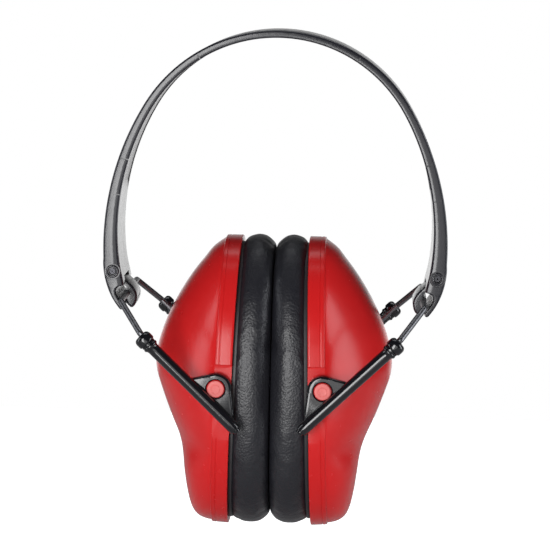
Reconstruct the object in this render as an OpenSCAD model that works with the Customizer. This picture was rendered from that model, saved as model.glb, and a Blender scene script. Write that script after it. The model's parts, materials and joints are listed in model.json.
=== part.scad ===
// Folding hearing protection earmuffs, drawn in their rest position: forks
// down, cups pulled up to the band ends, cushions resting on each other.
// Millimetres. +Z is up, X runs from ear to ear, the front is at -Y.
// The origin is on the inner edge of the headband at the top of the head.
// Every sub-part is drawn for the +X side and mirrored for the -X side.

/* [Headband] */
// Width of the band, front to rear
band_w = 29; // [26:0.5:32]
// Inner radius of the crown arc
crown_r = 51.3; // [50:0.1:53]
// Thickness of the band at the crown
crown_t = 2.6; // [2.4:0.1:3.2]
// Half angle of the crown arc in degrees
crown_a = 60; // [58:1:62]
// Inner radius of the arm arc
arm_in_r = 86.7; // [84:0.1:89]
// Depth of the channel in the band's inner face
channel_d = 0.9; // [0.5:0.1:1.2]
// Width of the rim at each side of the channel
channel_rim = 2.4; // [2:0.1:4]

/* [Hinge at the band end] */
// Distance of the fold axis from the middle
fold_x = 54.5; // [54:0.1:55]
// Height of the fold axis below the crown
fold_drop = 90.6; // [90:0.1:91]
// Width of the clip that holds the crossbar
clip_w = 15; // [12:0.5:18]
// Radius of the coiled pin
pin_r = 1.25; // [1.1:0.05:1.3]

/* [Wire fork] */
// Radius of the wire
wire_r = 1.1; // [0.9:0.05:1.2]
// Half length of the crossbar
crossbar_half = 30; // [28:0.5:31]
// Length of the straight leg inside the slider
leg_l = 41; // [36:1:42]

/* [Slider] */
// Distance of the slider tube from the middle plane, front to rear
tube_y = 44.8; // [44.8:0.1:46]
// Distance of the collar's top from the middle, ear to ear
tube_x = 44.6; // [44.4:0.1:45]
// Height of the collar's top below the crown
tube_drop = 102; // [101.5:0.1:102.5]
// Slope of the tube below the horizontal in degrees
tube_a = 43.8; // [43.5:0.1:44.2]
// Length from the collar's top to the tube's end
tube_l = 46.1; // [45:0.1:47]
// Outer radius of the tube
tube_r = 2.1; // [2:0.05:2.3]
// Outer radius of the eyelet
eyelet_r = 5.4; // [5:0.1:5.6]

/* [Cup] */
// Distance of the stud from the middle, ear to ear
stud_x = 18.5; // [18.3:0.1:18.7]
// Height of the stud below the crown
stud_drop = 120.2; // [120:0.1:120.4]
// Radius of the stud
stud_r = 3.1; // [2.9:0.05:3.1]
// Lean of the cup in degrees, top inwards
cup_tilt = 1.6; // [0:0.1:2]
// Height of the cup
cup_h = 104; // [100:1:106]
// Width of the cup, front to rear
cup_w = 81.8; // [81:0.2:82]
// Depth of the cup behind its rim
cup_d = 29.5; // [28:0.5:30]
// Wall thickness of the cup
cup_wall = 2.2; // [1.8:0.1:2.6]

/* [Cushion] */
// Height of the ear opening
ear_h = 62; // [56:1:66]
// Width of the ear opening
ear_w = 39; // [34:1:42]
// Thickness of the ring plate
plate_t = 1.4; // [1.2:0.1:2]
// Thickness of the cushion's cover
skin_t = 0.8; // [0.6:0.1:1.2]

/* [Hidden] */
$fn = 64;
eps = 0.01;
run = 0.05;                       // running clearance on a radius
fold_z = -fold_drop;
stud_z = -stud_drop;
stud_in = 5.2;                    // stud axis behind the rim plane
cup_low = 3.3;                    // cup centre below the stud
rim_d = 5;                        // depth of the rim band
pad_y = 39.9;                     // flat pad beside each stud
plate_y = 40.1;                   // inner face of the eyelet plate
eyelet_t = 3.2;
collar_l = 3.6;
collar_r = 3.1;
lip_z = -97.2;                    // centre of the rounded lip at the arm end
lip_r = 0.85;
pin_x = fold_x + 3.2;
pin_z = fold_z + 6.7;
tube_dir = [-cos(tube_a), -sin(tube_a)];

// Arcs of the band in the XZ plane. The arm arcs leave the crown arcs tangentially
// on one ray from the crown's centre.
// Where the ray at angle a from +Z meets the circle of centre c and radius r.
function on_circle(o, a, c, r) = let (d = [sin(a), cos(a)], q = o - c)
    o + d * (sqrt(pow(q * d, 2) - q * q + r * r) - q * d);
in_c = [0, -crown_r];
out_r = crown_r + 3.6;
out_c = [0, crown_t - out_r];
arm_out_r = 98.6;
in_joint = on_circle(in_c, crown_a, in_c, crown_r);
out_joint = on_circle(in_c, crown_a, out_c, out_r);
arm_in_c = in_joint - arm_in_r / crown_r * (in_joint - in_c);
arm_out_c = out_joint - arm_out_r / out_r * (out_joint - out_c);
end_r = 26.6;                     // outer curve of the arm end
arm_step = 0.02;                  // the arm is this much thinner on each face
end_c = [arm_out_c[0] + arm_out_r - end_r, -80.3];

// A point on the slider tube's axis, s below the collar's top.
function on_tube(s) = [tube_x, -tube_drop] + s * tube_dir;
// Points of a rounded oval, half h tall and half w wide.
function oval(h, w, p = 2.4, n = 64) = [for (i = [0:n - 1])
    let (c = cos(360 * i / n), s = sin(360 * i / n))
    [w * sign(c) * pow(abs(c), 2 / p), h * sign(s) * pow(abs(s), 2 / p)]];

// ---- placing helpers ----

// Draws the child on the +X side as it is, or mirrored onto the -X side.
module side(s) { mirror([s > 0 ? 0 : 1, 0, 0]) children(); }
// Draws the child at the rear as it is, or mirrored to the front.
module end_of(e) { mirror([0, e > 0 ? 0 : 1, 0]) children(); }
// Extrudes an outline drawn in XZ over a width along Y.
module xz(w) { rotate([90, 0, 0]) linear_extrude(w, center = true) children(); }
// The same, between two distances along Y.
module xz_from(y0, y1) {
    translate([0, y1, 0]) rotate([90, 0, 0]) linear_extrude(y1 - y0) children();
}
// Extrudes an outline drawn in YZ between two distances along X.
module yz(x0, x1) {
    translate([x0, 0, 0]) rotate([90, 0, 90]) linear_extrude(x1 - x0) children();
}
// A round bar along Y through a point of the XZ plane.
module bar(p, r, y0, y1) {
    translate([p[0], y1, p[1]]) rotate([90, 0, 0]) cylinder(h = y1 - y0, r = r);
}
// A round bar along the slider tube's axis, from s0 to s1 below the collar's top.
module tube_bar(r, s0, s1) {
    p = on_tube(s0);
    translate([p[0], tube_y, p[1]]) rotate([0, 270 - tube_a, 0]) cylinder(h = s1 - s0, r = r);
}
// The cup's own frame: x from the rim plane outwards, z from the stud.
module cup_frame() {
    translate([stud_x, 0, stud_z]) rotate([0, -cup_tilt, 0])
        translate([-stud_in, 0, 0]) children();
}

// ---- headband ----

// Draws an outline on both sides of the middle.
module both_sides() { for (s = [0, 1]) mirror([s, 0]) children(); }
// Ring between an inner and an outer circle.
module arc_ring(inner_c, inner_r, outer_c, outer_r) {
    difference() {
        translate(outer_c) circle(outer_r, $fn = 180);
        translate(inner_c) circle(inner_r, $fn = 180);
    }
}
// Outline of the band with its outer arc moved in by g and its inner arc out by h.
module band_outline(g = 0, h = 0) {
    ray = 90 * [sin(crown_a), cos(crown_a)];
    intersection() {
        arc_ring(in_c, crown_r + h, out_c, out_r - g);
        polygon([in_c, in_c + ray, in_c + [0, 90], in_c + [-ray[0], ray[1]]]);
    }
    both_sides() intersection() {
        arc_ring(arm_in_c, arm_in_r + h + arm_step, arm_out_c, arm_out_r - g - arm_step);
        polygon([in_c, in_c + ray, [90, -79], [30, -79]]);
    }
}
// Outline of the channel in the inner face.
module channel_outline() {
    intersection() {
        difference() {
            band_outline(0, -0.5);
            band_outline(-1, channel_d);
        }
        translate([-80, -54]) square([160, 60]);
    }
}
// Outline of the arm end: a wall above and outside the crossbar, and a beaded lip below it.
module arm_end() {
    intersection() {
        translate(end_c) circle(end_r, $fn = 120);
        polygon([[55.3, -78.9], [62, -78.9], [62, -92.6], [56.4, -92.4], [56.45, -90.6],
            [55.1, -89.15], [53.6, -88.7], [54.1, -86]]);
    }
    intersection() {
        arc_ring(end_c, end_r - 2 * lip_r, end_c, end_r);
        polygon([[55, -88], [62, -88], [62, lip_z], [52, lip_z]]);
    }
    lip_x = end_c[0] + sqrt(pow(end_r - lip_r, 2) - pow(lip_z - end_c[1], 2));
    translate([lip_x, lip_z]) circle(lip_r + 0.15, $fn = 32);
}
// Outline of the pocket that takes the clip's stem and bridge.
module clip_pocket() {
    translate([55.8, -89.5]) square([3.2, 9.6]);
    translate([48, -90.4]) square([9, 4.3]);
}
module headband() {
    color("#1b1b1e") difference() {
        union() {
            xz(band_w) {
                band_outline();
                both_sides() arm_end();
            }
            for (s = [-1, 1], e = [-1, 1]) side(s) end_of(e)
                bar([pin_x, pin_z], 2.5, band_w / 2 - 1, band_w / 2 + 0.3);
        }
        xz(band_w - 2 * channel_rim) channel_outline();
        for (s = [-1, 1]) side(s) {
            xz(clip_w + 0.2) clip_pocket();
            bar([pin_x, pin_z], pin_r + run, -20, 20);
        }
    }
}

// ---- hinge at the band end ----

module hinge_clip(s) {
    color("#242428") side(s) difference() {
        xz(clip_w) {
            // stem in the pocket, bridge and cradle over the wire, knuckle inside it
            translate([55.9, -88]) square([3, 8]);
            translate([50.6, -89.3]) square([8.3, 3.1]);
            translate([50.6, -90.3]) square([4.6, 2]);
            intersection() {
                translate([58.3, -93]) circle(9, $fn = 96);
                translate(end_c) circle(end_r - 2 * lip_r - 0.5, $fn = 96);
                translate([48, -97.9]) square([6.2, 10]);
            }
        }
        bar([pin_x, pin_z], pin_r + run, -20, 20);
        bar([fold_x, fold_z], wire_r + run, -20, 20);
    }
}
module clip_pin(s) {
    color("#8a8a8e") side(s) difference() {
        bar([pin_x, pin_z], pin_r, -band_w / 2 - 0.1, band_w / 2 + 0.1);
        bar([pin_x, pin_z], pin_r - 0.5, -20, 20);
        translate([pin_x - 0.15, -20, pin_z]) cube([0.3, 40, 2]);
    }
}

// ---- wire fork ----

// A round wire through a list of points, with a slightly swollen ball at each bend.
module wire(points) {
    for (i = [0:len(points) - 2]) {
        d = points[i + 1] - points[i];
        translate(points[i]) rotate([0, acos(d[2] / norm(d)), atan2(d[1], d[0])])
            cylinder(h = norm(d), r = wire_r, $fn = 32);
    }
    for (i = [1:len(points) - 2]) translate(points[i]) sphere(wire_r + 0.04, $fn = 32);
}
module wire_fork(s) {
    bend = on_tube(-1.6);
    tip = on_tube(leg_l);
    color("#77787c") side(s) wire([
        [tip[0], -tube_y, tip[1]],
        [bend[0], -tube_y, bend[1]],
        [fold_x, -crossbar_half, fold_z],
        [fold_x, crossbar_half, fold_z],
        [bend[0], tube_y, bend[1]],
        [tip[0], tube_y, tip[1]]]);
}

// ---- slider and collar on each leg ----

module slider(s, e) {
    stud = [stud_x, stud_z];
    color("#17171a") side(s) end_of(e) difference() {
        union() {
            tube_bar(tube_r, 1.2, tube_l);
            tube_bar(tube_r + 0.6, collar_l + 0.9, collar_l + 1.9);
            tube_bar(1.4, tube_l - 1, tube_l + 1.2);
            bar(stud, eyelet_r, plate_y, plate_y + eyelet_t);
            xz_from(plate_y, plate_y + eyelet_t) polygon([on_tube(22), stud + [2, 5],
                stud - [eyelet_r, 0.5], stud - [6.4, 9], on_tube(43), on_tube(32)]);
        }
        tube_bar(wire_r + run, 0, tube_l - 1.6);
        bar(stud, stud_r + 0.1, plate_y - 1, plate_y + eyelet_t + 0.4);
        bar(stud, stud_r + 0.5, plate_y + eyelet_t - 0.5, plate_y + eyelet_t + 0.4);
    }
}
module collar(s, e) {
    color("#101012") side(s) end_of(e) difference() {
        tube_bar(collar_r, 0, collar_l);
        tube_bar(wire_r + run, -1, collar_l + 1);
        tube_bar(tube_r + run, 1.1, collar_l + 1);
    }
}

// ---- cup ----

// A thin oval plate at depth x, centred z above the cup's centre.
module level(x, z, h, w) { translate([0, 0, z - cup_low]) yz(x, x + 0.4) polygon(oval(h, w)); }
// Solid body of the cup, shrunk by g all round, from depth x0 behind the rim.
module cup_body(g = 0, x0 = 0) {
    h = cup_h / 2 - g;
    w = cup_w / 2 - g;
    translate([0, 0, -cup_low]) yz(x0, rim_d) polygon(oval(h, w));
    // dome over the upper part
    hull() {
        level(rim_d, 0, h - 0.8, w - 0.8);
        level(cup_d * 0.44 - g, 3, h - 10.5, w - 7.5);
        level(cup_d * 0.7 - g, 7.5, h - 27.5, w - 17);
        level(cup_d - 0.4 - g, 5.5, h - 46, w - 32);
    }
    // shallow block under the dome
    hull() {
        level(rim_d, -20, h - 20.8, w - 4);
        level(cup_d * 0.42 - g, -25, h - 28, w - 8);
        level(cup_d * 0.57 - g, -27, h - 36, w - 16);
    }
}
module cup_shell(s) {
    color("#c32026") side(s) cup_frame() {
        difference() {
            cup_body();
            cup_body(cup_wall, -1);
            for (e = [-1, 1]) end_of(e) translate([-1, pad_y, -16]) cube([14, 5, 24.2]);
        }
        for (e = [-1, 1]) end_of(e)
            bar([stud_in, 0], stud_r, cup_w / 2 - cup_wall + 0.1, plate_y + eyelet_t + 0.2);
    }
}
module foam_insert(s) {
    color("#3c3c40") side(s) cup_frame() intersection() {
        cup_body(cup_wall + 0.1, 0);
        translate([6, -60, -80]) cube([40, 120, 160]);
    }
}

// ---- cushion ----

// An oval ring centred on the cup, between two depths.
module ring(x0, x1, h, w, hole_h, hole_w) {
    translate([0, 0, -cup_low]) yz(x0, x1) difference() {
        polygon(oval(h / 2, w / 2));
        polygon(oval(hole_h / 2, hole_w / 2));
    }
}
// Everything on this side of the plane where the two cushions meet.
module own_half() {
    intersection() {
        children();
        translate([0.05, -60, -190]) cube([60, 120, 140]);
    }
}
module cushion_plate(s) {
    color("#202024") side(s) cup_frame() {
        ring(-plate_t, -run, cup_h - 1.6, cup_w - 1.6, ear_h, ear_w);
        ring(-run, 2.6, cup_h - 2 * cup_wall - 1, cup_w - 2 * cup_wall - 1,
            cup_h - 2 * cup_wall - 4, cup_w - 2 * cup_wall - 4);
    }
}
module cushion_foam(s) {
    color("#55555a") side(s) intersection() {
        cup_frame() ring(-18, -plate_t - 2 * run, cup_h - 2 * skin_t - 3, cup_w - 2 * skin_t - 3,
            ear_h + 2 * skin_t + 0.2, ear_w + 2 * skin_t + 0.2);
        translate([0.15 + skin_t, -60, -190]) cube([60, 120, 140]);
    }
}
module cushion_cover(s) {
    color("#1d1d20") side(s) difference() {
        own_half() cup_frame()
            ring(-18, -plate_t - run, cup_h - 2.8, cup_w - 2.8, ear_h, ear_w);
        intersection() {
            cup_frame() ring(-19, 0, cup_h - 2 * skin_t - 2.8, cup_w - 2 * skin_t - 2.8,
                ear_h + 2 * skin_t, ear_w + 2 * skin_t);
            translate([0.05 + skin_t, -60, -190]) cube([60, 120, 140]);
        }
    }
}

headband();
hinge_clip(-1);  // left_hinge_clip
hinge_clip(1);  // right_hinge_clip
clip_pin(-1);  // left_clip_pin
clip_pin(1);  // right_clip_pin
wire_fork(-1);  // left_wire_fork
wire_fork(1);  // right_wire_fork
slider(-1, -1);  // left_front_slider
slider(-1, 1);  // left_rear_slider
slider(1, -1);  // right_front_slider
slider(1, 1);  // right_rear_slider
collar(-1, -1);  // left_front_collar
collar(-1, 1);  // left_rear_collar
collar(1, -1);  // right_front_collar
collar(1, 1);  // right_rear_collar
cup_shell(-1);  // left_cup_shell
cup_shell(1);  // right_cup_shell
foam_insert(-1);  // left_foam_insert
foam_insert(1);  // right_foam_insert
cushion_plate(-1);  // left_cushion_plate
cushion_plate(1);  // right_cushion_plate
cushion_foam(-1);  // left_cushion_foam
cushion_foam(1);  // right_cushion_foam
cushion_cover(-1);  // left_cushion_cover
cushion_cover(1);  // right_cushion_cover
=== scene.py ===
"""Finished looks of the folding earmuffs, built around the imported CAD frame.

Sizes are in millimetres in the frame's own axes: +Z up, X from ear to ear, the front at -Y.
Each piece is made once, for the right-hand (+X) side and the rear (+Y), and mirrored from there.
"""
import json
import math

import bmesh
import bpy
from mathutils import Matrix, Vector, noise


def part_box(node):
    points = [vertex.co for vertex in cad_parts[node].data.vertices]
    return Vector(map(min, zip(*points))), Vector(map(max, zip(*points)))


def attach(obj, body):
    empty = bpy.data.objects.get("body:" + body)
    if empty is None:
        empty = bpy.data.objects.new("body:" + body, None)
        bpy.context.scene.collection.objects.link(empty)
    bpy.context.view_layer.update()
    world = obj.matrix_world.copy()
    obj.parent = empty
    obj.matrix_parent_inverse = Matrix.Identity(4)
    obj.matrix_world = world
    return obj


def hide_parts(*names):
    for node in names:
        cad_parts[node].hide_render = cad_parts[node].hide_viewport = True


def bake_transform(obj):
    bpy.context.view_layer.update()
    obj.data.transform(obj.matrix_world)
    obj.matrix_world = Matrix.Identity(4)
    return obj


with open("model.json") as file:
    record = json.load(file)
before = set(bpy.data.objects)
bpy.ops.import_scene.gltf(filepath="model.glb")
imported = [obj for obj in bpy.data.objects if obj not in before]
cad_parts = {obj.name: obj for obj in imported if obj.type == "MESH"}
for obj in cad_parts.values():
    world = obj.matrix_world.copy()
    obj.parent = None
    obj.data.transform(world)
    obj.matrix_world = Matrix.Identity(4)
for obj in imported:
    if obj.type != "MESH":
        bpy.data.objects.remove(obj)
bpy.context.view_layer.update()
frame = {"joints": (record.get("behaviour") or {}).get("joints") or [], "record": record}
record = frame["record"]
scene = bpy.context.scene

MM = 0.001
SIDES = {"left": -1, "right": 1}
ENDS = {"front": -1, "rear": 1}
JOINTS = {joint["name"]: joint for joint in frame["joints"]}
BODY_OF = {n: body for body, nodes in record["behaviour"]["bodies"].items() for n in nodes}
FOLD = Vector(JOINTS["right_fold"]["pos_m"]) / MM
STUD = Vector(JOINTS["right_swivel"]["pos_m"]) / MM
TUBE_DIR = Vector(JOINTS["right_height"]["axis"]).normalized()

# ---- driving sizes ----

BAND_W, BAND_T = 29.0, 2.6            # the band's width, and its thickness at the crown
CROWN_R, CROWN_A = 51.3, 60.0         # inner radius and half angle of the crown
ARM_IN_R, ARM_OUT_R = 86.7, 98.6      # inner and outer radius of the arms
END_R, END_Z = 26.6, -80.3            # outer curve of the arm end
LIP_T, LIP_Z = 1.7, -97.2             # thickness and lower end of the lip
CHANNEL_D, CHANNEL_RIM, CHANNEL_END = 0.9, 2.4, -54.0
RIDGE = 0.42                          # where the edge face's ridge lies, from inside to outside
# Notches across the edge faces: height, share of the thickness, width and depth.
NOTCHES = [(-8.0, 0.7, 0.5, 0.35), (-44.0, 0.72, 0.55, 0.6), (-56.0, 0.8, 0.35, 0.3)]
PIN = Vector((57.7, 0, -83.9))
PIN_R, CLIP_W = 1.25, 15.0
WIRE_R, CROSSBAR, LEG_L = 1.1, 30.0, 41.0
TUBE_TOP = Vector((44.6, 44.8, -102.0))
TUBE_R, TUBE_L, COLLAR_R, COLLAR_L = 2.1, 46.1, 3.1, 3.6
PLATE_Y, EYELET_T, EYELET_R, STUD_R = 40.1, 3.2, 5.4, 3.1
RUN = 0.05                            # running clearance on a radius
CUP_H, CUP_W, CUP_WALL, CUP_TILT = 104.0, 81.8, 2.2, 1.6
STUD_IN, CUP_LOW, RIM_D = 5.2, 3.3, 6.0
EAR_H, EAR_W, PAD_Y = 62.0, 39.0, 39.9
CUSHION_H, CUSHION_W, SKIN_BACK = 51.1, 40.0, 0.3
CROWN_RISE = 1.2                      # how far the cushion's top stands above its plate
SWELL = 1.3                           # how far the cushion may swell

# The cup's own frame: x from the rim plane outwards, z from the cup's centre.
CUP = (Matrix.Translation(STUD) @ Matrix.Rotation(math.radians(-CUP_TILT), 4, "Y")
       @ Matrix.Translation((-STUD_IN, 0, -CUP_LOW)))


# ---- mesh helpers ----

def mesh_from(points, faces):
    """A closed mesh from points in millimetres, with its faces turned outwards."""
    mesh = bpy.data.meshes.new("made")
    mesh.from_pydata([Vector(p) * MM for p in points], [], faces)
    work = bmesh.new()
    work.from_mesh(mesh)
    bmesh.ops.recalc_face_normals(work, faces=work.faces)
    work.to_mesh(mesh)
    work.free()
    return mesh


def loft(rings, closed=False):
    """A skin over rings of equal length, capped at both ends or joined into a loop."""
    n = len(rings[0])
    faces = []
    for i in range(len(rings) if closed else len(rings) - 1):
        a, b = i * n, (i + 1) % len(rings) * n
        faces += [(a + j, a + (j + 1) % n, b + (j + 1) % n, b + j) for j in range(n)]
    if not closed:
        last = (len(rings) - 1) * n
        faces += [tuple(range(n)), tuple(range(last, last + n))]
    return mesh_from([p for ring in rings for p in ring], faces)


def prism(outline, low, high):
    """An outline of (x, z) points, extruded along Y."""
    return loft([[(x, y, z) for x, z in outline] for y in (low, high)])


def box(low, high):
    """A plain box between two corners, for cutting with."""
    outline = [(low[0], low[2]), (high[0], low[2]), (high[0], high[2]), (low[0], high[2])]
    return prism(outline, low[1], high[1])


def lathe(profile, origin, axis, closed=False, segments=48):
    """Profile points (distance along the axis, radius), turned about the axis."""
    axis = Vector(axis).normalized()
    u = axis.orthogonal().normalized()
    v = axis.cross(u)
    turns = [2 * math.pi * i / segments for i in range(segments)]
    spokes = [math.cos(a) * u + math.sin(a) * v for a in turns]
    return loft([[Vector(origin) + axis * s + spoke * r for spoke in spokes]
                 for s, r in profile], closed)


def cross_bore(origin, radius):
    """A tool that bores from front to rear through a point, with running clearance."""
    return lathe([(-20, radius + RUN), (20, radius + RUN)], origin, (0, 1, 0))


def baked(mesh, kind, **settings):
    """The mesh with one modifier applied."""
    work = bpy.data.objects.new("work", mesh)
    scene.collection.objects.link(work)
    modifier = work.modifiers.new("work", kind)
    for name, value in settings.items():
        setattr(modifier, name, value)
    bpy.context.view_layer.update()
    graph = bpy.context.evaluated_depsgraph_get()
    result = bpy.data.meshes.new_from_object(work.evaluated_get(graph))
    bpy.data.objects.remove(work)
    return result


def rounded(mesh, width, segments=3, angle=35):
    """The mesh with its sharp edges rounded."""
    return baked(mesh, "BEVEL", width=width * MM, segments=segments,
                 limit_method="ANGLE", angle_limit=math.radians(angle))


def combined(mesh, operation, *tools):
    """The mesh after a boolean with each tool in turn."""
    for tool in tools:
        other = bpy.data.objects.new("tool", tool)
        scene.collection.objects.link(other)
        mesh = baked(mesh, "BOOLEAN", operation=operation, object=other, solver="EXACT")
        bpy.data.objects.remove(other)
    return mesh


def smooth_step(low, high, value):
    """From 0 at low to 1 at high, with soft ends."""
    t = min(1.0, max(0.0, (value - low) / (high - low)))
    return t * t * (3 - 2 * t)


def curve_at(keys, at):
    """A smooth curve through (place, value) keys in rising order, read at one place."""
    slopes = []
    for i in range(len(keys)):
        a, b = keys[max(i - 1, 0)], keys[min(i + 1, len(keys) - 1)]
        slopes.append((b[1] - a[1]) / (b[0] - a[0]))
    for i in range(len(keys) - 1):
        (x0, y0), (x1, y1) = keys[i], keys[i + 1]
        if at <= x1 or i == len(keys) - 2:
            h = x1 - x0
            t = min(1.0, max(0.0, (at - x0) / h))
            return ((2 * t**3 - 3 * t**2 + 1) * y0 + (t**3 - 2 * t**2 + t) * h * slopes[i]
                    + (3 * t**2 - 2 * t**3) * y1 + (t**3 - t**2) * h * slopes[i + 1])


def sweep(points, radius, segments=24):
    """A round bar along points, with flat ends."""
    points = [Vector(p) for p in points]
    normal = (points[1] - points[0]).orthogonal().normalized()
    rings = []
    for i, p in enumerate(points):
        along = (points[min(i + 1, len(points) - 1)] - points[max(i - 1, 0)]).normalized()
        normal = (normal - along * normal.dot(along)).normalized()
        side = along.cross(normal)
        rings.append([p + radius * (math.cos(a) * normal + math.sin(a) * side)
                      for a in (2 * math.pi * k / segments for k in range(segments))])
    return loft(rings)


def filleted(corners, radius, steps=8):
    """The line through corners, with each inner corner turned into an arc."""
    corners = [Vector(c) for c in corners]
    path = [corners[0]]
    for before, corner, after in zip(corners, corners[1:], corners[2:]):
        a, b = (before - corner).normalized(), (after - corner).normalized()
        half = a.angle(b) / 2
        start, end = corner + a * radius / math.tan(half), corner + b * radius / math.tan(half)
        centre = corner + (a + b).normalized() * radius / math.sin(half)
        for k in range(steps + 1):
            spoke = (start - centre).slerp(end - centre, k / steps)
            path.append(centre + spoke)
    return path + [corners[-1]]


# ---- placing pieces ----

def add_piece(name, mesh, materials, node, side=1, end=1, sharp=32):
    """A visible piece for a CAD node, mirrored to its own side and end. It isn't on a body yet."""
    mesh = mesh.copy()
    mesh.transform(Matrix.Diagonal((side, end, 1, 1)))
    if side * end < 0:
        mesh.flip_normals()
    for material in materials:
        mesh.materials.append(material)
    mesh.shade_smooth()
    mesh.set_sharp_from_angle(angle=math.radians(sharp))
    piece = bpy.data.objects.new(name, mesh)
    scene.collection.objects.link(piece)
    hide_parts(node)
    return piece


def add_riding(kind, mesh, materials, side_name, end_name="", **options):
    """A piece for the CAD node of that kind, side and end, riding on the node's own body."""
    node = "_".join(filter(None, (side_name, end_name, kind)))
    piece = add_piece(node + "_finished", mesh, materials, node, SIDES[side_name],
                      ENDS.get(end_name, 1), **options)
    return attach(piece, BODY_OF[node])


# ---- materials ----

def add_node(tree, kind, **values):
    """A shader node; names that are inputs are set as inputs, the rest as properties."""
    node = tree.nodes.new("ShaderNode" + kind)
    for name, value in values.items():
        label = name.replace("_", " ").title()
        if label in node.inputs:
            node.inputs[label].default_value = value
        else:
            setattr(node, name, value)
    return node


def coloured(colour, factor=1.0):
    return tuple(min(1.0, c * factor) for c in colour) + (1.0,)


def surface(name, colour, roughness, mottle=0.15, gloss_spread=0.06, layers=(), **inputs):
    """A material with a slightly uneven colour and gloss, and one bump for each layer.

    A layer is (pattern, size, depth) with its sizes in millimetres.
    """
    material = bpy.data.materials.new(name)
    material.use_nodes = True
    tree = material.node_tree
    shader = tree.nodes["Principled BSDF"]
    for label, value in inputs.items():
        shader.inputs[label.replace("_", " ").title().replace("Ior", "IOR")].default_value = value
    link = tree.links.new
    place = add_node(tree, "TexCoord").outputs["Object"]

    patches = add_node(tree, "TexNoise", scale=1 / (9 * MM), detail=4.0)
    link(place, patches.inputs["Vector"])
    shade = add_node(tree, "Mix", data_type="RGBA")
    shade.inputs["A"].default_value = coloured(colour, 1 - mottle)
    shade.inputs["B"].default_value = coloured(colour, 1 + mottle)
    link(patches.outputs["Fac"], shade.inputs["Factor"])
    link(shade.outputs["Result"], shader.inputs["Base Color"])

    smears = add_node(tree, "TexNoise", scale=1 / (3 * MM), detail=6.0)
    link(place, smears.inputs["Vector"])
    gloss = add_node(tree, "MapRange")
    gloss.inputs["To Min"].default_value = roughness - gloss_spread
    gloss.inputs["To Max"].default_value = roughness + gloss_spread
    link(smears.outputs["Fac"], gloss.inputs["Value"])
    link(gloss.outputs["Result"], shader.inputs["Roughness"])

    normal = None
    for pattern, size, depth in layers:
        if pattern == "noise":
            height = add_node(tree, "TexNoise", scale=1 / (size * MM), detail=3.0)
            value = height.outputs["Fac"]
        else:
            height = add_node(tree, "TexVoronoi", scale=1 / (size * MM), feature="SMOOTH_F1")
            value = height.outputs["Distance"]
        link(place, height.inputs["Vector"])
        bump = add_node(tree, "Bump", distance=depth * MM, invert=pattern == "cells")
        link(value, bump.inputs["Height"])
        if normal:
            link(normal, bump.inputs["Normal"])
        normal = bump.outputs["Normal"]
    if normal:
        link(normal, shader.inputs["Normal"])
    return material


BAND = surface("band_plastic", (0.016, 0.016, 0.021), 0.22, specular_ior_level=0.45,
               layers=[("noise", 0.4, 0.02), ("noise", 6, 0.03)])
SLIDER = surface("slider_plastic", (0.006, 0.006, 0.008), 0.15, specular_ior_level=0.55,
                 layers=[("noise", 0.7, 0.012)])
WIRE = surface("wire_steel", (0.17, 0.17, 0.18), 0.40, metallic=1.0,
               layers=[("noise", 0.25, 0.006)])
PIN_STEEL = surface("pin_steel", (0.05, 0.05, 0.055), 0.35, metallic=1.0,
                    layers=[("noise", 0.3, 0.006)])
CUP_RED = surface("cup_plastic", (0.56, 0.013, 0.014), 0.25, mottle=0.05,
                  layers=[("noise", 2.2, 0.012)], specular_ior_level=0.25)
# The studs' faces: the cup's red made lighter and more salmon as painted light from the front
# lamps; the higher roughness and the bumps are their own rougher finish.
STUD_PAINTED_LIGHT_RED = surface("stud_plastic_painted_light", (0.66, 0.13, 0.12), 0.5, mottle=0.3,
                   layers=[("noise", 0.8, 0.08)])
PLATE = surface("plate_plastic", (0.02, 0.02, 0.022), 0.5, layers=[("noise", 0.6, 0.02)])
LEATHER = surface("cushion_cover", (0.011, 0.011, 0.015), 0.42, mottle=0.22,
                  layers=[("cells", 0.7, 0.12), ("noise", 0.35, 0.03), ("noise", 4, 0.12)])
FOAM = surface("cushion_foam", (0.09, 0.09, 0.10), 0.95, mottle=0.3,
               layers=[("cells", 0.9, 0.4)])
INSERT_FOAM = surface("acoustic_foam", (0.05, 0.05, 0.055), 0.95, mottle=0.35,
                      layers=[("cells", 0.8, 0.4)])


# ---- headband ----

def flat(x, z):
    return Vector((x, z))


def spoke(angle):
    """A unit vector of the XZ plane, at an angle in degrees from +Z towards +X."""
    return flat(math.sin(math.radians(angle)), math.cos(math.radians(angle)))


def on_circle(origin, angle, centre, radius):
    """Where the ray from origin at that angle meets a circle."""
    ray, q = spoke(angle), origin - centre
    along = ray.dot(q)
    return origin + ray * (math.sqrt(along**2 - q.dot(q) + radius**2) - along)


IN_C = flat(0, -CROWN_R)
OUT_R = CROWN_R + 3.6
OUT_C = flat(0, BAND_T - OUT_R)
IN_JOINT = IN_C + CROWN_R * spoke(CROWN_A)
OUT_JOINT = on_circle(IN_C, CROWN_A, OUT_C, OUT_R)
ARM_IN_C = IN_JOINT - ARM_IN_R / CROWN_R * (IN_JOINT - IN_C)
ARM_OUT_C = OUT_JOINT - ARM_OUT_R / OUT_R * (OUT_JOINT - OUT_C)
END_C = flat(ARM_OUT_C.x + ARM_OUT_R - END_R, END_Z)
# The inner side of the arm end, with the angle on the outer curve that lies opposite.
ARM_END = [(55.35, -79.9, 90.5), (55.15, -81.2, 93), (54.75, -83.4, 97.5), (54.1, -86.0, 103),
           (53.72, -87.8, 107), (53.62, -88.4, 108.4), (53.7, -88.75, 109.3),
           (54.1, -88.95, 110.2), (54.6, -89.05, 111), (55.1, -89.2, 111.8),
           (55.8, -89.6, 112.8), (56.3, -90.2, 113.8), (56.45, -90.9, 115), (56.45, -91.7, 116.4),
           (56.3, -92.4, 117.8)]


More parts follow.
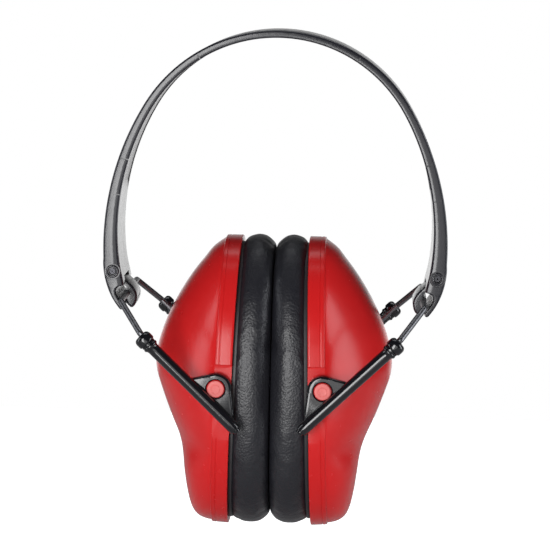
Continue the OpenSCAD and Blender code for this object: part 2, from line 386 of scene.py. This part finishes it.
def band_stations():
    """Pairs of inner and outer points, from the middle of the crown to the arm's tip."""
    pairs = []
    for k in range(25):
        angle = CROWN_A * k / 24
        pairs.append((IN_C + CROWN_R * spoke(angle), on_circle(IN_C, angle, OUT_C, OUT_R)))
    for k in range(1, 31):
        angle = CROWN_A + (96.2 - CROWN_A) * k / 30
        pairs.append((ARM_IN_C + ARM_IN_R * spoke(angle),
                      on_circle(ARM_IN_C, angle, ARM_OUT_C, ARM_OUT_R)))
    for x, z, angle in ARM_END:
        pairs.append((flat(x, z), END_C + END_R * spoke(angle)))
    lip_end = 90 + math.degrees(math.asin((END_Z - LIP_Z) / END_R))
    first = ARM_END[-1][2] + 1.5
    for k in range(8):
        angle = first + (lip_end - first) * k / 7
        pairs.append((END_C + (END_R - LIP_T) * spoke(angle), END_C + END_R * spoke(angle)))
    inner, outer = pairs[-1]
    middle, half = (inner + outer) / 2, (outer - inner) / 2
    onward = flat(half.y, -half.x)
    for k in range(1, 6):
        turn = math.radians(85 * k / 5)
        step = onward * math.sin(turn)
        pairs.append((middle + step - half * math.cos(turn), middle + step + half * math.cos(turn)))
    return pairs


def edge_drop(d, thick):
    """How far the edge face falls away from its ridge, at a depth through the band."""
    past = d - RIDGE * thick
    return 0.12 * past if past > 0 else 0.4 * past**2 / thick


def band_section(inner, outer):
    """The band's section between two points: ridged edge faces, and a dished channel inside."""
    across = outer - inner
    thick = across.length
    across = across / thick
    half = BAND_W / 2
    corner, outer_corner = 0.15 * min(thick, BAND_T), 0.28 * min(thick, BAND_T)
    floor = CHANNEL_D * smooth_step(CHANNEL_END - 1.5, CHANNEL_END + 0.5, inner.y)
    channel = half - CHANNEL_RIM
    low = [(0, floor), (channel - 7, floor), (channel - 4.5, 0.85 * floor),
           (channel - 2, 0.5 * floor), (channel - 0.2, 0.26 * floor), (channel + 0.05, 0)]
    face = half - edge_drop(0, thick)
    for turn in (0, 22, 45, 68):
        a = math.radians(turn)
        low.append((face - corner * (1 - math.sin(a)), corner * (1 - math.cos(a))))
    rise = []
    for share in (0, 0.1, 0.2, 0.3, 0.4, 0.6, 0.8, 1):
        d = corner + (thick - corner - outer_corner) * share
        rise.append((half - edge_drop(d, thick), d))
    face = half - edge_drop(thick - outer_corner, thick)
    high = []
    for turn in (68, 45, 22, 0):
        a = math.radians(turn)
        high.append((face - outer_corner * (1 - math.sin(a)),
                     thick - outer_corner * (1 - math.cos(a))))
    rows = low + rise + high + [(0, thick)]
    rows += [(-y, d) for y, d in reversed(rows[1:-1])]
    return [(inner.x + across.x * d, y, inner.y + across.y * d) for y, d in rows]


def make_band_half():
    """Half of the band, with the clip's pocket, the pin's bosses and the edge notches."""
    pairs = band_stations()
    mesh = loft([band_section(*pair) for pair in pairs])
    half = BAND_W / 2
    bead = [(half + 0.02 + 0.4 * math.sin(a), 1.9 - 0.42 * math.cos(a))
            for a in (math.pi * k / 8 for k in range(9))]
    boss = [(half - 1, 1.42), *bead, (half - 1, 2.4)]
    for way in (-1, 1):
        ring = lathe(boss, PIN, (0, way, 0), closed=True)
        moat = lathe([(half - 0.65, 2.35), (half - 0.65, 2.75), (half + 1, 2.9), (half + 1, 2.35)],
                     PIN, (0, way, 0), closed=True)
        mesh = combined(mesh, "DIFFERENCE", moat)
        mesh = combined(mesh, "UNION", ring)
    for z, share, width, depth in NOTCHES:
        inner, outer = min(pairs, key=lambda pair: abs(pair[0].y - z))
        across = outer - inner
        side_step = flat(-across.y, across.x).normalized() * width / 2
        near, far = inner - 0.1 * across, inner + share * across
        outline = [tuple(p) for p in (near - side_step, far - side_step, far + side_step,
                                      near + side_step)]
        for low, high in ((half - depth, half + 1), (-half - 1, depth - half)):
            mesh = combined(mesh, "DIFFERENCE", prism(outline, low, high))
    reach = CLIP_W / 2 + 0.1
    stem = box((55.8, -reach, -89.5), (59.0, reach, -79.9))
    bridge = box((48, -reach, -90.4), (57.0, reach, -86.1))
    return combined(mesh, "DIFFERENCE", cross_bore(PIN, PIN_R), stem, bridge)


def add_headband():
    half = make_band_half()
    for name, side in SIDES.items():
        piece = add_piece(name + "_headband_half", half, [BAND], "headband", side)
        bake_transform(piece)


# ---- hinge clip and its pin ----

def make_clip():
    """Stem in the pocket, bridge over the crossbar, and the barrel-shaped knuckle inside it."""
    reach = CLIP_W / 2
    knuckle = [(54.2, -89.4), (54.2, -94.4), (53.6, -95.6), (52.7, -96.8), (51.7, -97.7),
               (50.9, -97.6), (50.3, -97.0), (49.8, -96.0), (49.5, -94.8), (49.4, -93.4),
               (49.6, -92.4), (50.1, -91.4), (50.65, -90.5), (51.3, -89.7), (52.0, -88.95),
               (52.7, -88.3)]
    knuckle = rounded(prism(knuckle, -reach, reach), 1.9, segments=6, angle=50)
    bridge = [(55.9, -80), (58.9, -80), (58.9, -89.3), (55.2, -89.3), (54.9, -90.3),
              (51.5, -90.3), (52.0, -89.3), (52.7, -88.5), (53.5, -87.8), (54.3, -87.2),
              (55.9, -86.7)]
    bridge = rounded(prism(bridge, -reach, reach), 0.5, angle=50)
    clip = combined(knuckle, "UNION", bridge)
    return combined(clip, "DIFFERENCE", cross_bore(FOLD, WIRE_R), cross_bore(PIN, PIN_R))


def make_pin():
    """A spring pin coiled from sheet, with both ends showing the coil."""
    turns, sheet, gap, steps = 2.1, 0.3, 0.12, 72
    outer, inner = [], []
    for k in range(steps + 1):
        angle = 360 * turns * k / steps
        radius = PIN_R - (sheet + gap) * angle / 360
        outer.append(flat(PIN.x, PIN.z) + radius * spoke(angle))
        inner.append(flat(PIN.x, PIN.z) + (radius - sheet) * spoke(angle))
    length = BAND_W / 2 - 1.3
    return prism([tuple(p) for p in outer + inner[::-1]], -length, length)


# ---- wire fork ----

def on_tube(s):
    """The point on the slider tube's axis at a distance from the collar's top."""
    return TUBE_TOP + TUBE_DIR * s


def make_fork():
    """One wire: the crossbar, a bend at each side, and a leg into each slider."""
    flip = Matrix.Diagonal((1, -1, 1))
    corner = Vector((FOLD.x, CROSSBAR, FOLD.z))
    half = [on_tube(LEG_L), on_tube(-1.6), corner]
    corners = half + [flip @ p for p in reversed(half)]
    return sweep(filleted(corners, 3.3), WIRE_R)


# ---- slider and collar ----

def make_slider():
    """The tube with its ring and nub, and the web with the eyelet."""
    profile = [(1.2, 1.15), (1.2, 2.0), (1.3, TUBE_R), (3.65, TUBE_R), (3.68, 2.5), (3.75, 2.6),
               (4.2, 2.6), (4.32, 2.48), (4.42, 2.48), (4.55, 2.6), (4.75, 2.68), (5.0, 2.7),
               (5.25, 2.66), (5.45, 2.54), (5.6, 2.35), (5.9, 2.2), (6.4, TUBE_R), (8, TUBE_R),
               (TUBE_L - 3, TUBE_R), (TUBE_L - 0.45, TUBE_R), (TUBE_L - 0.12, 1.98),
               (TUBE_L, 1.75), (TUBE_L, 1.42), (TUBE_L + 0.85, 1.4), (TUBE_L + 1.1, 1.25),
               (TUBE_L + 1.2, 0.9)]
    tube = lathe(profile, TUBE_TOP, TUBE_DIR)
    low, high = PLATE_Y, PLATE_Y + EYELET_T
    stud = flat(STUD.x, STUD.z)
    web = [flat(on_tube(22).x, on_tube(22).z), stud + flat(2, 5), stud - flat(EYELET_R, 0.5),
           stud - flat(6.4, 9), flat(on_tube(43).x, on_tube(43).z),
           flat(on_tube(32).x, on_tube(32).z)]
    web = rounded(prism([tuple(p) for p in web], low, high), 0.7)
    ring = [(low, EYELET_R - 0.6), (low + 0.2, EYELET_R - 0.15), (low + 0.6, EYELET_R),
            (high - 0.9, EYELET_R), (high - 0.35, EYELET_R - 0.22), (high - 0.08, EYELET_R - 0.6),
            (high, EYELET_R - 1.0)]
    eyelet = lathe(ring, (STUD.x, 0, STUD.z), (0, 1, 0), segments=64)
    body = combined(tube, "UNION", web, eyelet)
    sink = [(low - 1, STUD_R + 0.1), (high - 0.8, STUD_R + 0.1), (high - 0.7, STUD_R + 0.35),
            (high - 0.15, STUD_R + 0.35), (high + 0.05, STUD_R + 0.55)]
    cutter = lathe(sink, (STUD.x, 0, STUD.z), (0, 1, 0), segments=64)
    bore = lathe([(0, WIRE_R + RUN), (TUBE_L - 1.6, WIRE_R + RUN)], TUBE_TOP, TUBE_DIR)
    return combined(body, "DIFFERENCE", cutter, bore)


def make_collar():
    """The cap ring that holds the wire at the tube's mouth."""
    profile = [(0.05, 1.2), (0, 1.35), (0, 1.75), (0.07, 2.1), (0.26, 2.45), (0.55, 2.74),
               (0.92, 2.95), (1.35, 3.06), (1.8, COLLAR_R), (2.9, COLLAR_R), (3.25, 3.04),
               (3.48, 2.9), (COLLAR_L, 2.7), (COLLAR_L, 2.15), (1.1, 2.15), (1.1, 1.15),
               (0.2, 1.15)]
    return lathe(profile, TUBE_TOP, TUBE_DIR, closed=True)


# ---- cup ----

SEGMENTS = 192                        # points round a cup or cushion
OVAL_POWER = 2.4                      # 2 is an ellipse; more is squarer
DOME_INSET = 0.8                      # the dome's edge, in from the flange's
# Depth of the cup behind its rim plane along its middle, from the bottom to the top.
CUP_PROFILE = [(-51.2, 6.0), (-50.5, 9.0), (-48.6, 12.0), (-45, 14.0), (-38, 15.7), (-30, 17.0),
               (-26, 17.7), (-22, 18.9), (-12, 23.5), (-1, 27.9), (3, 29.1), (7.5, 29.5),
               (13, 28.6), (21, 26.2), (30, 22.2), (38, 17.6), (44, 13.3), (48, 10.2), (51.2, 6.0)]


def oval(angle, h, w):
    """The (y, z) of a rounded oval in that direction, where h and w are its half axes."""
    c, s = math.cos(angle), math.sin(angle)
    r = (abs(c / w)**OVAL_POWER + abs(s / h)**OVAL_POWER) ** (-1 / OVAL_POWER)
    return r * c, r * s


def oval_ring(x, h, w):
    """The whole oval at a depth x of the cup's frame."""
    turns = (2 * math.pi * i / SEGMENTS for i in range(SEGMENTS))
    return [(x, *oval(a, h, w)) for a in turns]


def cup_depth(y, z):
    """Depth of the cup's outer face behind the rim plane: a dome over a shallower block."""
    h, w = CUP_H / 2 - DOME_INSET, CUP_W / 2 - DOME_INSET
    width = w * max(1e-6, 1 - min(1.0, abs(z / h))**OVAL_POWER) ** (1 / OVAL_POWER)
    v = min(1.0, abs(y) / width)
    block = smooth_step(-18, -32, z)
    power, root = 2 + 2.2 * block, 0.87 - 0.13 * block
    return RIM_D + (curve_at(CUP_PROFILE, z) - RIM_D) * (1 - v**power) ** root


def dome_ring(rho, shrink=0.0, sink=0.0):
    """A ring of the dome at a share of the way out, moved inwards for inner faces."""
    h, w = CUP_H / 2 - DOME_INSET, CUP_W / 2 - DOME_INSET
    ring = []
    for _, y, z in oval_ring(0, h * rho, w * rho):
        depth = max(cup_depth(y, z) - sink, 0)
        ring.append((depth, y * (w - shrink) / w, z * (h - shrink) / h))
    return ring


def make_shell():
    """The cup: a flat flange, a fine groove, a narrow band, the dome, pads and studs, with painted
    light as a lighter red on the studs' faces.
    """
    h, w = CUP_H / 2, CUP_W / 2
    # The rim's profile, as the depth behind the rim plane and how far it lies inside the oval.
    rim = [(3.0, CUP_WALL), (0.3, CUP_WALL), (0.08, CUP_WALL - 0.1), (0, CUP_WALL - 0.3),
           (0, 0.4), (0.1, 0.13), (0.35, 0), (0.8, 0), (3.9, 0.1), (4.15, 0.12),
           (4.25, 0.25), (4.4, 0.26), (4.5, 0.13), (4.7, 0.11), (5.2, 0.12), (5.4, 0.14),
           (5.5, 0.24), (5.65, 0.24), (5.75, 0.16), (5.85, 0.25), (6.0, 0.5)]
    shares = (0.01, *(k / 14 for k in range(1, 15)))
    inner = [dome_ring(share, CUP_WALL - DOME_INSET, CUP_WALL) for share in shares]
    outer = [dome_ring(1 - (k / 46)**1.5 if k < 46 else 0.006) for k in range(47)]
    rings = inner + [oval_ring(x, h - inset, w - inset) for x, inset in rim] + outer
    shell = loft(rings)
    pad = rounded(box((-2, PAD_Y, -26 + CUP_LOW), (13, PAD_Y + 6, 8.2 + CUP_LOW)), 0.5)
    head = PLATE_Y + EYELET_T + 0.2
    profile = [(w - CUP_WALL - 0.6, STUD_R), (head - 0.8, STUD_R), (head - 0.7, STUD_R - 0.18),
               (head - 0.25, STUD_R - 0.2), (head - 0.05, STUD_R - 0.34), (head, STUD_R - 0.55),
               (head - 0.03, 1.75), (head - 0.12, 1.65), (head - 0.12, 1.5), (head - 0.03, 1.4),
               (head - 0.1, 0.4)]
    stud = lathe(profile, (STUD_IN, 0, CUP_LOW), (0, 1, 0), segments=64)
    turn = Matrix.Diagonal((1, -1, 1, 1))
    for tool, operation in ((pad, "DIFFERENCE"), (stud, "UNION")):
        other = tool.copy()
        other.transform(turn)
        other.flip_normals()
        shell = combined(shell, operation, tool, other)
    # Faces on the stud heads take the second, lighter red: painted light where the front lamps fall
    # on them.
    for face in shell.polygons:
        face.material_index = int(abs(face.center.y) > (head - 0.3) * MM)
    shell.transform(cup_placing())
    return shell


def cup_placing():
    """The cup frame's matrix for meshes, which are in metres."""
    move = CUP.copy()
    move.translation = move.translation * MM
    return move


def make_insert():
    """Open-cell foam that fills the back of the cup, with an uneven front face."""
    front, back = [], []
    for k in range(1, 25):
        rho = 0.93 * k / 24
        ring = dome_ring(rho, CUP_WALL - 0.4, CUP_WALL + 0.35)
        back.append([(max(x, 6.6), y, z) for x, y, z in ring])
        front.append([(6.05 + 0.5 * abs(noise.noise(Vector((y, z, 3)) * 0.35)), y, z)
                      for _, y, z in ring])
    foam = loft(front + back[::-1])
    foam.transform(cup_placing())
    return foam


def make_plate():
    """The ring plate that carries the cushion and snaps into the cup's rim."""
    # Its section: the depth behind the rim plane, then the half axes of the oval.
    rows = [(-1.4, 49.5, 38.4), (-1.2, 49.7, 38.6), (-0.25, 49.7, 38.6), (-0.05, 49.6, 38.5),
            (-0.05, 49.3, 38.2), (2.4, 49.3, 38.2), (2.6, 49.1, 38.0), (2.6, 48.0, 36.9),
            (2.4, 47.8, 36.7), (-0.05, 47.8, 36.7), (-0.05, 31.2, 19.7), (-0.25, 31.0, 19.5),
            (-1.2, 31.0, 19.5), (-1.4, 31.2, 19.7)]
    plate = loft([oval_ring(*row) for row in rows], closed=True)
    plate.transform(cup_placing())
    return plate


# ---- cushion ----

# Inset from the cushion's space, corner radii and wall bulge of the cover and of the foam in it.
COVER_SHAPE = 0.1, (0.8, 5.2, 5.0, 1.5), 1.3
FOAM_SHAPE = 1.6, (1.2, 4.2, 4.0, 1.2), 0.8
VOXEL = 1.8
# The cloth is blown up at ten times its size, where its solver is steadier.
CLOTH_SCALE, CLOTH_MASS, CLOTH_FRAMES, PRESSURE = 10, 0.1, 20, 4


def cushion_section(width, deep, corners, bulge):
    """Points (in from the outer wall, out from the plate) round one side of a padded ring.

    The corners run: outer at the plate, outer at the contact, inner at the contact, inner at
    the plate. The bulge is how far the two walls swell.
    """
    section = []
    for number, radius in enumerate(corners):
        for k in range(5):
            way = math.radians(90 * number + 90 * k / 4)
            a = (radius if number in (0, 1) else width - radius) - radius * math.sin(way)
            b = (radius if number in (0, 3) else deep - radius) - radius * math.cos(way)
            section.append((a, b))
    rows = []
    for (a0, b0), (a1, b1) in zip(section, section[1:] + section[:1]):
        for k in range(3):
            a, b = a0 + (a1 - a0) * k / 3, b0 + (b1 - b0) * k / 3
            swell = math.sin(math.pi * min(1.0, b / deep)) * math.cos(math.pi * a / width)
            rows.append((a - bulge * swell, b))
    return rows


def cushion_ring(inset, corners, bulge):
    """A closed padded ring, inset from its own space, whose upper half swells the most."""
    columns = []
    for i in range(SEGMENTS):
        turn = 2 * math.pi * i / SEGMENTS
        outer = Vector(oval(turn, CUSHION_H - inset, CUSHION_W - inset))
        outer.y += CROWN_RISE * smooth_step(5, CUSHION_H, outer.y)
        inner = Vector(oval(turn, EAR_H / 2 + inset, EAR_W / 2 + inset))
        width = (outer - inner).length
        deep = contact_depth(outer.y) - SKIN_BACK - 2 * inset
        swell = bulge * (0.7 + 0.3 * outer.y / CUSHION_H)
        rows = cushion_section(width, deep, corners, swell)
        columns.append([(-SKIN_BACK - inset - b, *outer.lerp(inner, a / width)) for a, b in rows])
    return loft(columns, closed=True)


def contact_depth(z, gap=0.1):
    """How far in front of the rim plane the two cushions meet, at a height in the cup's frame."""
    lean = math.radians(CUP_TILT)
    return -(STUD_IN + (gap - STUD.x + math.sin(lean) * (z - CUP_LOW)) / math.cos(lean))


def held(mesh):
    """The mesh with each point moved back that is past the contact plane or the ring plate."""
    for v in mesh.vertices:
        y, z = v.co.y / MM, v.co.z / MM
        v.co.x = max(v.co.x, -contact_depth(z) * MM)
        v.co.x = min(v.co.x, -SKIN_BACK * MM)
    return mesh


def swollen(mesh):
    """The cushion's skin after a cloth simulation that blows it up from inside."""
    start = baked(mesh, "REMESH", mode="VOXEL", voxel_size=VOXEL * MM)
    start = baked(start, "SMOOTH", factor=0.5, iterations=1)
    work = bpy.data.objects.new("swell", start.copy())
    work.data.transform(Matrix.Scale(CLOTH_SCALE, 4))
    scene.collection.objects.link(work)
    cloth = work.modifiers.new("cloth", "CLOTH").settings
    cloth.use_pressure = True
    cloth.uniform_pressure_force = PRESSURE
    cloth.effector_weights.gravity = 0
    cloth.mass = CLOTH_MASS
    for frame_number in range(1, CLOTH_FRAMES + 1):
        scene.frame_set(frame_number)
    bpy.context.view_layer.update()
    grown = bpy.data.meshes.new_from_object(
        work.evaluated_get(bpy.context.evaluated_depsgraph_get()))
    scene.frame_set(1)
    bpy.data.objects.remove(work)
    for v, w in zip(start.vertices, grown.vertices):
        move = w.co / CLOTH_SCALE - v.co
        if move.length > SWELL * MM:
            move = move.normalized() * SWELL * MM
        v.co += move
    return held(baked(held(start), "SUBSURF", levels=1))


def make_cover():
    cover = swollen(cushion_ring(*COVER_SHAPE))
    cover.transform(cup_placing())
    return cover


def make_cushion_foam():
    foam = cushion_ring(*FOAM_SHAPE)
    foam.transform(cup_placing())
    return foam


# ---- the object ----

add_headband()
MAKERS = {
    "hinge_clip": (make_clip, [BAND]), "clip_pin": (make_pin, [PIN_STEEL]),
    "wire_fork": (make_fork, [WIRE]), "cup_shell": (make_shell, [CUP_RED, STUD_PAINTED_LIGHT_RED]),
    "foam_insert": (make_insert, [INSERT_FOAM]), "cushion_plate": (make_plate, [PLATE]),
    "cushion_cover": (make_cover, [LEATHER]), "cushion_foam": (make_cushion_foam, [FOAM]),
}
for kind, (maker, materials) in MAKERS.items():
    made = maker()
    for side_name in SIDES:
        piece = add_riding(kind, made, materials, side_name)
for kind, maker in {"slider": make_slider, "collar": make_collar}.items():
    made = maker()
    for side_name in SIDES:
        for end_name in ENDS:
            add_riding(kind, made, [SLIDER], side_name, end_name)


# ---- floor, light and camera ----

FLOOR_GAP = 41  # from the cups at rest down to the floor; in the poses they come down 39 mm


def aimed(obj, place, target, roll=0.0):
    """Puts a lamp or camera at a place, looking at a target, both in millimetres."""
    obj.location = Vector(place) * MM
    back = (Vector(place) - Vector(target)).normalized()
    up = (Vector((0, 0, 1)) - back * back.z).normalized()
    right = up.cross(back)
    c, s = math.cos(math.radians(roll)), math.sin(math.radians(roll))
    axes = Matrix((c * right - s * up, s * right + c * up, back)).transposed()
    obj.rotation_euler = axes.to_euler()
    return obj


def add_softbox(name, place, width, height, power, colour=(1, 1, 1), target=(0, 0, -90)):
    """A rectangular studio lamp, aimed at the cups unless it has a target of its own."""
    lamp = bpy.data.lights.new(name, "AREA")
    lamp.shape = "RECTANGLE"
    lamp.size, lamp.size_y = width * MM, height * MM
    lamp.energy = power
    lamp.color = colour
    box_light = bpy.data.objects.new(name, lamp)
    scene.collection.objects.link(box_light)
    return aimed(box_light, place, target)


def add_floor():
    """A plain pale floor below the cups in every pose, which the camera sees as white."""
    half = 420
    low = min(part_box(side + "_cup_shell")[0].z for side in SIDES) / MM - FLOOR_GAP
    points = [(-half, -half, low), (half, -half, low), (half, half, low), (-half, half, low)]
    floor = bpy.data.objects.new("floor", mesh_from(points, [(0, 1, 2, 3)]))
    scene.collection.objects.link(floor)
    paper = surface("floor_paper", (0.75, 0.75, 0.75), 0.9, mottle=0.01, specular_ior_level=0.1)
    tree = paper.node_tree
    shader = tree.nodes["Principled BSDF"]
    shader.inputs["Emission Color"].default_value = (1, 1, 1, 1)
    ray = add_node(tree, "LightPath")
    tree.links.new(ray.outputs["Is Camera Ray"], shader.inputs["Emission Strength"])
    floor.data.materials.append(paper)


def add_world():
    """Soft light from behind the object, weaker above the horizon, before a white background."""
    world = bpy.data.worlds.new("studio")
    scene.world = world
    world.use_nodes = True
    tree = world.node_tree
    link = tree.links.new
    light = tree.nodes["Background"]
    light.inputs["Color"].default_value = (1, 1, 1, 1)
    place = add_node(tree, "TexCoord").outputs["Generated"]

    facing = add_node(tree, "VectorMath", operation="DOT_PRODUCT")
    facing.inputs[1].default_value = (0, 0.976, -0.22)
    link(place, facing.inputs[0])
    glow = add_node(tree, "MapRange", interpolation_type="SMOOTHSTEP",
                    from_min=0.82, from_max=0.975, to_min=0.04, to_max=1.4)
    link(facing.outputs["Value"], glow.inputs["Value"])

    height = add_node(tree, "SeparateXYZ")
    link(place, height.inputs["Vector"])
    upper = add_node(tree, "MapRange", from_min=-0.04, from_max=0.07, to_min=1.0, to_max=0.45)
    link(height.outputs["Z"], upper.inputs["Value"])
    strength = add_node(tree, "Math", operation="MULTIPLY")
    link(glow.outputs["Result"], strength.inputs[0])
    link(upper.outputs["Result"], strength.inputs[1])
    link(strength.outputs["Value"], light.inputs["Strength"])

    backdrop = add_node(tree, "Background", color=(1, 1, 1, 1))
    mix = add_node(tree, "MixShader")
    link(add_node(tree, "LightPath").outputs["Is Camera Ray"], mix.inputs[0])
    link(light.outputs["Background"], mix.inputs[1])
    link(backdrop.outputs["Background"], mix.inputs[2])
    link(mix.outputs["Shader"], tree.nodes["World Output"].inputs["Surface"])


def add_camera():
    """The camera, at a distance from its target along a direction given by yaw and pitch."""
    target, distance = Vector((-0.3, 0, -85.6)), 870
    yaw, pitch, roll = math.radians(2.11), math.radians(7.44), -1.15
    back = Vector((math.sin(yaw) * math.cos(pitch), -math.cos(yaw) * math.cos(pitch),
                   math.sin(pitch)))
    lens = bpy.data.cameras.new("camera")
    lens.lens, lens.sensor_width = 157.9, 36
    lens.clip_start, lens.clip_end = 0.05, 50
    camera = bpy.data.objects.new("camera", lens)
    scene.collection.objects.link(camera)
    scene.camera = aimed(camera, target + back * distance, target, roll)


scene.view_settings.view_transform = "Standard"
add_floor()
add_world()
add_camera()
# Softboxes: name, place, width, height, power in watts, colour.
add_softbox("key_left", (-300, -1080, -30), 400, 740, 10.8)
add_softbox("side_left", (-1000, -100, 60), 300, 800, 3, (0.93, 0.96, 1))
add_softbox("fill_right", (980, -120, 0), 500, 900, 7, (0.93, 0.96, 1))
add_softbox("front_low", (150, -1000, -150), 500, 500, 1.5, target=(0, 0, -110))
add_softbox("top", (0, 250, 700), 700, 500, 2.2, (0.95, 0.97, 1))
